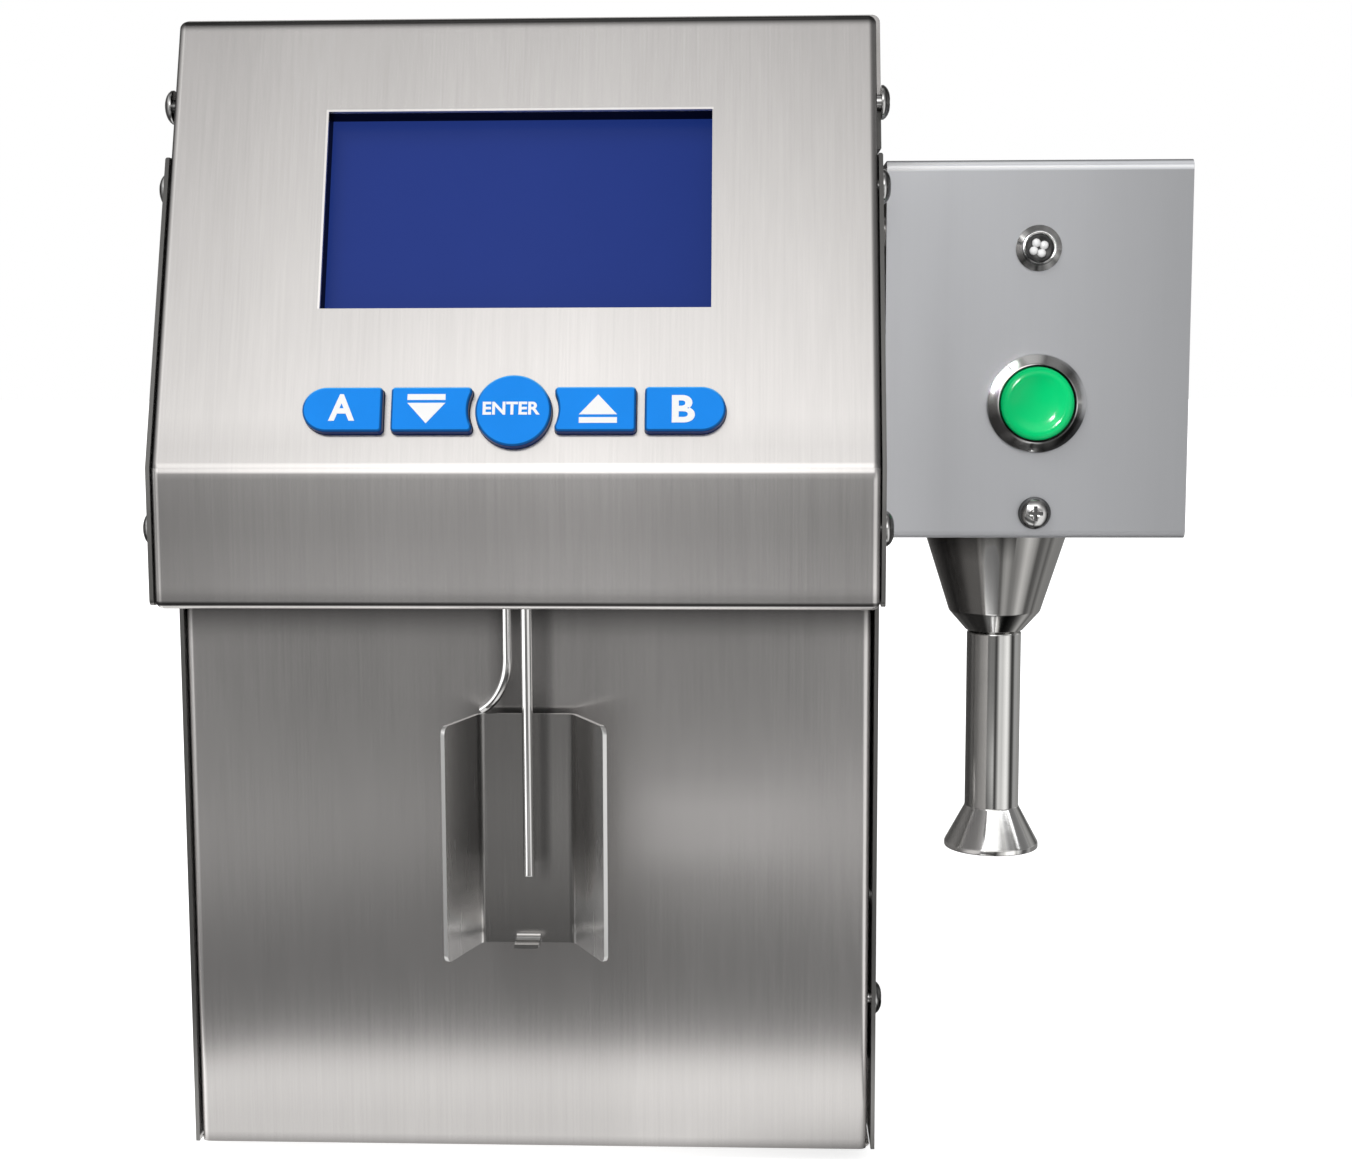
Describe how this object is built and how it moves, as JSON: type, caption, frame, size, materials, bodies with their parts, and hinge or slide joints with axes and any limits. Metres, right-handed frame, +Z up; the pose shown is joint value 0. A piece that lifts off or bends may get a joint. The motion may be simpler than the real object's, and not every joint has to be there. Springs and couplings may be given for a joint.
{
  "type": "milk analyzer",
  "caption": "Bench milk analyzer in brushed steel with a sloped display and keys, a sampling tube over an open holder and a stirrer box with a horn on its side.",
  "frame": {"origin": "middle of the footprint of the whole assembly, at the bottom of the rubber feet", "axes": "+Z up, -Y towards the user, +X to the right as the user sees it"},
  "size_m": [0.2032, 0.215, 0.2281],
  "materials": {
    "brushed_steel": "fine vertical brushing",
    "satin_steel": "satin, no visible grain",
    "polished_steel": "polished",
    "screw_steel": "plated",
    "black_plastic": "matte",
    "display": "deep blue behind glass",
    "key_blue": "glossy blue with white signs",
    "cap_green": "glossy green",
    "clear_lens": "clear, faceted",
    "rubber": "matte",
    "hose": "milky",
    "board_green": "solder mask",
    "grey_plastic": "fine grain",
    "aluminium": "machined",
    "motor_steel": "zinc plated",
    "ceramic": "fired ceramic"
  },
  "bodies": {
    "case": {"front_cover": "brushed_steel", "lower_front_panel": "brushed_steel", "left_side_plate": "brushed_steel", "right_side_plate": "brushed_steel", "top_hood": "brushed_steel", "sample_holder": "brushed_steel", "base_tray": "brushed_steel", "rear_panel": "brushed_steel", "stirrer_frame": "brushed_steel", "stirrer_cover": "satin_steel", "sample_tube": "polished_steel", "outlet_tube": "polished_steel", "led_bezel": "polished_steel", "button_bezel": "polished_steel", "horn_cone": "polished_steel", "horn_rod": "polished_steel", "case_screws": "screw_steel", "stirrer_screw": "screw_steel", "holder_studs": "screw_steel", "stirrer_mount_screws": "screw_steel", "clamp_bolt": "screw_steel", "data_port": "screw_steel", "stirrer_spacers": "screw_steel", "lcd_frame": "black_plastic", "key_switches": "black_plastic", "power_inlet": "black_plastic", "power_switch_housing": "black_plastic", "button_nut": "black_plastic", "main_board_parts": "black_plastic", "lcd_glass": "display", "led_lens": "clear_lens", "rubber_feet": "rubber", "tube_grommets": "rubber", "intake_hose": "hose", "pump_tube": "hose", "lcd_board": "board_green", "key_board": "board_green", "main_board": "board_green", "driver_board": "board_green", "pump_housing": "grey_plastic", "pump_cover": "grey_plastic", "sensor_cell": "aluminium", "sensor_bracket": "aluminium", "pump_bracket": "aluminium", "board_standoffs": "aluminium", "pump_motor": "motor_steel", "back_mass": "motor_steel", "piezo_rings": "ceramic", "sensor_transducers": "ceramic"},
    "key_a": {"key_a": "key_blue"},
    "key_down": {"key_down": "key_blue"},
    "key_enter": {"key_enter": "key_blue"},
    "key_up": {"key_up": "key_blue"},
    "key_b": {"key_b": "key_blue"},
    "button_cap": {"button_cap": "cap_green"},
    "power_switch_rocker": {"power_switch_rocker": "black_plastic"},
    "pump_rotor": {"pump_rotor": "grey_plastic"},
    "pump_roller_1": {"pump_roller_1": "grey_plastic"},
    "pump_roller_2": {"pump_roller_2": "grey_plastic"},
    "pump_roller_3": {"pump_roller_3": "grey_plastic"}
  },
  "joints": [
    {"name": "key_a_press", "type": "slide", "parent": "case", "child": "key_a", "axis": [0, 0.9486, -0.3166], "range_m": [0, 0.001], "stiffness_N_per_m": 400},
    {"name": "key_down_press", "type": "slide", "parent": "case", "child": "key_down", "axis": [0, 0.9486, -0.3166], "range_m": [0, 0.001], "stiffness_N_per_m": 400},
    {"name": "key_enter_press", "type": "slide", "parent": "case", "child": "key_enter", "axis": [0, 0.9486, -0.3166], "range_m": [0, 0.001], "stiffness_N_per_m": 400},
    {"name": "key_up_press", "type": "slide", "parent": "case", "child": "key_up", "axis": [0, 0.9486, -0.3166], "range_m": [0, 0.001], "stiffness_N_per_m": 400},
    {"name": "key_b_press", "type": "slide", "parent": "case", "child": "key_b", "axis": [0, 0.9486, -0.3166], "range_m": [0, 0.001], "stiffness_N_per_m": 400},
    {"name": "button_press", "type": "slide", "parent": "case", "child": "button_cap", "axis": [0, 1, 0], "range_m": [0, 0.0025], "stiffness_N_per_m": 300},
    {"name": "switch_rock", "type": "hinge", "parent": "case", "child": "power_switch_rocker", "pos_m": [0.0116, 0.10087, 0.045], "axis": [1, 0, 0], "range_deg": [-16, 0]},
    {"name": "rotor_spin", "type": "hinge", "parent": "case", "child": "pump_rotor", "pos_m": [-0.0604, -0.00953, 0.069], "axis": [0, 1, 0], "continuous": true},
    {"name": "roller_1_spin", "type": "hinge", "parent": "pump_rotor", "child": "pump_roller_1", "pos_m": [-0.0507, -0.00953, 0.069], "axis": [0, 1, 0], "continuous": true},
    {"name": "roller_2_spin", "type": "hinge", "parent": "pump_rotor", "child": "pump_roller_2", "pos_m": [-0.06525, -0.00953, 0.0774], "axis": [0, 1, 0], "continuous": true},
    {"name": "roller_3_spin", "type": "hinge", "parent": "pump_rotor", "child": "pump_roller_3", "pos_m": [-0.06525, -0.00953, 0.0606], "axis": [0, 1, 0], "continuous": true}
  ],
  "couplings": [
    {"joint": "roller_1_spin", "follows": "rotor_spin", "ratio": -3.425},
    {"joint": "roller_2_spin", "follows": "rotor_spin", "ratio": -3.425},
    {"joint": "roller_3_spin", "follows": "rotor_spin", "ratio": -3.425}
  ]
}
